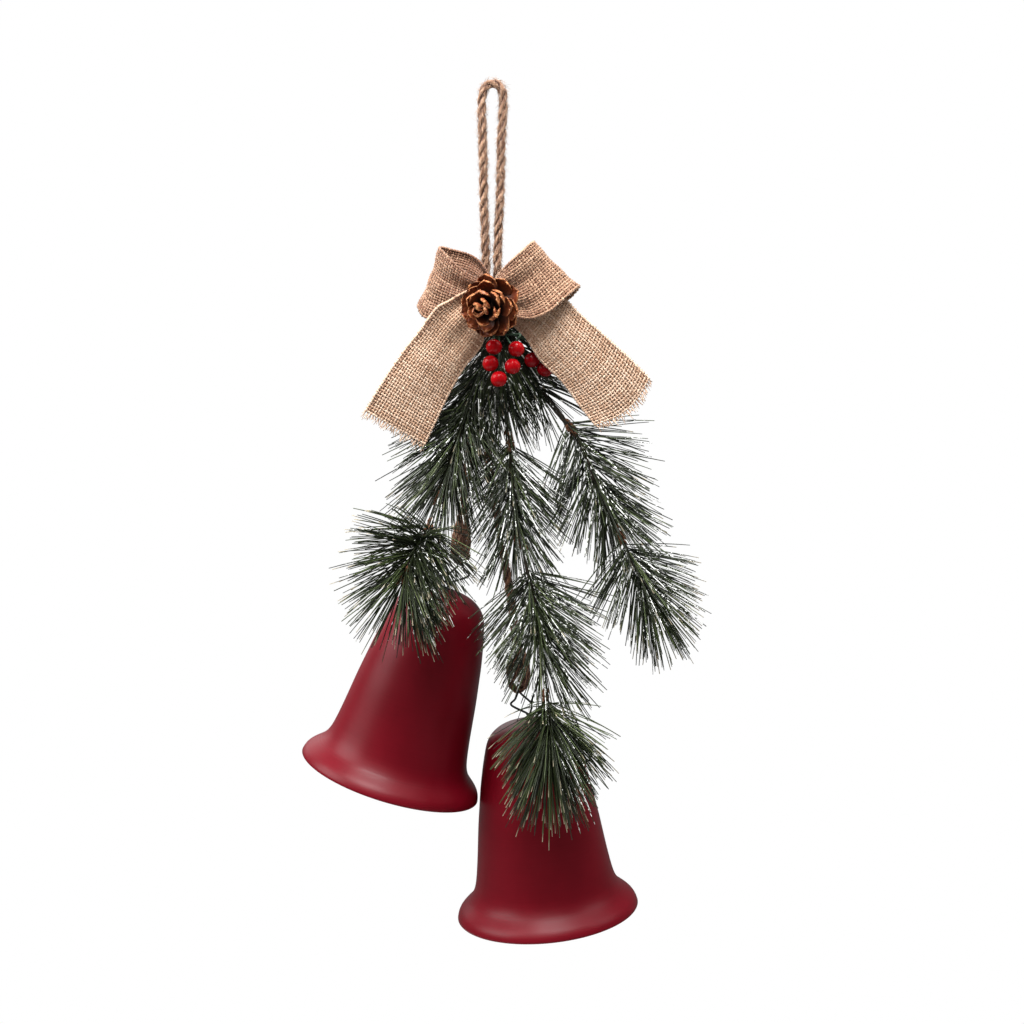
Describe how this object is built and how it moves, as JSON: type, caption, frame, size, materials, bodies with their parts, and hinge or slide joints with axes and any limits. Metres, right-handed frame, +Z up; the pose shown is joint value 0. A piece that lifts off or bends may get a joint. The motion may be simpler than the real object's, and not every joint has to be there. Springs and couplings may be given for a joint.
{
  "type": "hanging bell ornament",
  "caption": "Hanging ornament with flared metal bells that swing on jute cords under a burlap bow, pine cone, berries and frosted pine sprigs.",
  "frame": {"origin": "inside top of the hanging loop, where a hook bears", "axes": "+Z up, +X to the right seen from the front, +Y away from the viewer, through the hanging loop"},
  "size_m": [0.2221, 0.1302, 0.4676],
  "materials": {
    "jute_cord": "twisted natural jute",
    "floral_tape": "waxed green paper tape",
    "florist_wire": "dull green lacquer",
    "burlap": "open plain weave",
    "glue": "hot-melt glue",
    "cone_scale": "dry varnished scale, lighter at the edge",
    "cone_core": "dry wood",
    "berry": "glossy lacquer",
    "berry_stem": "matt wrapped wire",
    "stem": "rough paper-wrapped wire",
    "needles": "matt with white flocking",
    "black_wire": "black annealed",
    "steel": "plain",
    "bell_paint": "satin burgundy enamel"
  },
  "bodies": {
    "root": {"hanging_loop": "jute_cord", "floral_tape": "floral_tape", "binding_wire": "florist_wire", "bow_loops": "burlap", "bow_tails": "burlap", "bow_tie_wire": "florist_wire", "bow_glue_pad": "glue", "cone_core": "cone_core", "cone_scales": "cone_scale", "cone_glue_pad": "glue", "berries": "berry", "berry_stems": "berry_stem", "left_stem": "stem", "middle_stem": "stem", "right_stem": "stem", "top_needles": "needles", "left_upper_needles": "needles", "left_tip_needles": "needles", "middle_upper_needles": "needles", "middle_lower_needles": "needles", "middle_tip_needles": "needles", "right_upper_needles": "needles", "right_tip_needles": "needles"},
    "left_cord": {"left_cord": "jute_cord", "left_cord_knot": "jute_cord", "left_cord_eye": "jute_cord"},
    "left_hanger": {"left_wire_hanger": "black_wire", "left_bead": "black_wire"},
    "left_bell": {"left_bell": "bell_paint", "left_crown_washer": "steel"},
    "left_clapper": {"left_clapper_wire": "black_wire", "left_clapper_ball": "steel"},
    "right_cord": {"right_cord": "jute_cord", "right_cord_knot": "jute_cord", "right_cord_eye": "jute_cord"},
    "right_hanger": {"right_wire_hanger": "black_wire", "right_bead": "black_wire"},
    "right_bell": {"right_bell": "bell_paint", "right_crown_washer": "steel"},
    "right_clapper": {"right_clapper_wire": "black_wire", "right_clapper_ball": "steel"}
  },
  "joints": [
    {"name": "left_cord_swing", "type": "hinge", "parent": "root", "child": "left_cord", "pos_m": [-0.0035, 0.0055, -0.141], "axis": [0, 1, 0], "range_deg": [0, 15]},
    {"name": "left_hanger_swing", "type": "hinge", "parent": "left_cord", "child": "left_hanger", "pos_m": [-0.018, 0.008, -0.256], "axis": [1, 0, 0], "range_deg": [-4, 25]},
    {"name": "left_bell_tilt", "type": "hinge", "parent": "left_hanger", "child": "left_bell", "pos_m": [-0.02709, 0.008, -0.27585], "axis": [0, 1, 0], "range_deg": [0, 6]},
    {"name": "left_clapper_swing", "type": "hinge", "parent": "left_hanger", "child": "left_clapper", "pos_m": [-0.02856, 0.008, -0.28062], "axis": [0, 1, 0], "range_deg": [-1.5, 40]},
    {"name": "right_cord_swing", "type": "hinge", "parent": "root", "child": "right_cord", "pos_m": [0.002, 0.0055, -0.141], "axis": [0, -1, 0], "range_deg": [0, 15]},
    {"name": "right_hanger_swing", "type": "hinge", "parent": "right_cord", "child": "right_hanger", "pos_m": [0.0135, 0.008, -0.3295], "axis": [1, 0, 0], "range_deg": [-4, 25]},
    {"name": "right_bell_tilt", "type": "hinge", "parent": "right_hanger", "child": "right_bell", "pos_m": [0.01976, 0.008, -0.3507], "axis": [0, -1, 0], "range_deg": [0, 6]},
    {"name": "right_clapper_swing", "type": "hinge", "parent": "right_hanger", "child": "right_clapper", "pos_m": [0.02027, 0.008, -0.35567], "axis": [0, -1, 0], "range_deg": [-13, 29]}
  ]
}
